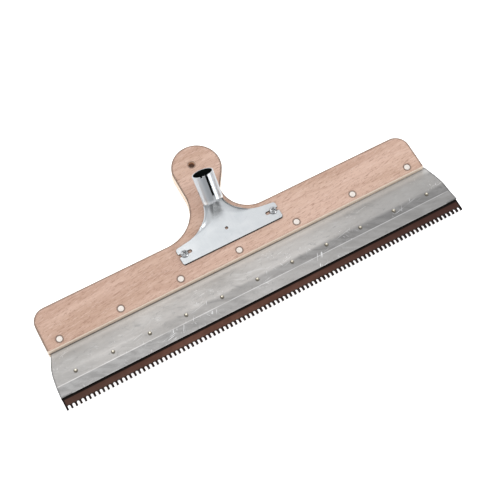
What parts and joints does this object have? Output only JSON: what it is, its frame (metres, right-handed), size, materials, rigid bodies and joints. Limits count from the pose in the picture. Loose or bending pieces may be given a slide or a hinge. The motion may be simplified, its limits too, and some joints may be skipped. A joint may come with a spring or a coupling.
{
  "type": "notched trowel",
  "caption": "Wide notched rubber trowel: plywood board with a hand grip, riveted sheet blade holding a toothed rubber strip, and an angled steel socket for a pole.",
  "frame": {"origin": "middle of the bounding box, on the back face of the board that the tool lies on", "axes": "+X along the blade, +Y from the teeth towards the grip, +Z out of the front face that carries the pole socket"},
  "size_m": [0.561, 0.2492, 0.0715],
  "materials": {
    "plywood": "bare sanded",
    "galvanised_sheet": "dull galvanised",
    "bright_zinc_steel": "bright zinc plated",
    "brown_rubber": "matte",
    "aluminium_rivet": "satin",
    "brass_rivet": "satin",
    "zinc_screw": "bright zinc plated"
  },
  "bodies": {
    "root": {"handle_board": "plywood", "blade_sheet_front": "galvanised_sheet", "blade_sheet_back": "galvanised_sheet", "toothed_rubber_strip": "brown_rubber", "socket_bracket": "bright_zinc_steel", "board_rivet_1": "aluminium_rivet", "board_rivet_2": "aluminium_rivet", "board_rivet_3": "aluminium_rivet", "board_rivet_4": "aluminium_rivet", "board_rivet_5": "aluminium_rivet", "board_rivet_6": "aluminium_rivet", "board_rivet_7": "aluminium_rivet", "strip_rivet_1": "brass_rivet", "strip_rivet_2": "brass_rivet", "strip_rivet_3": "brass_rivet", "strip_rivet_4": "brass_rivet", "strip_rivet_5": "brass_rivet", "strip_rivet_6": "brass_rivet", "strip_rivet_7": "brass_rivet", "strip_rivet_8": "brass_rivet", "strip_rivet_9": "brass_rivet", "strip_rivet_10": "brass_rivet", "strip_rivet_11": "brass_rivet", "socket_screw_left": "zinc_screw", "socket_screw_right": "zinc_screw"}
  },
  "joints": []
}
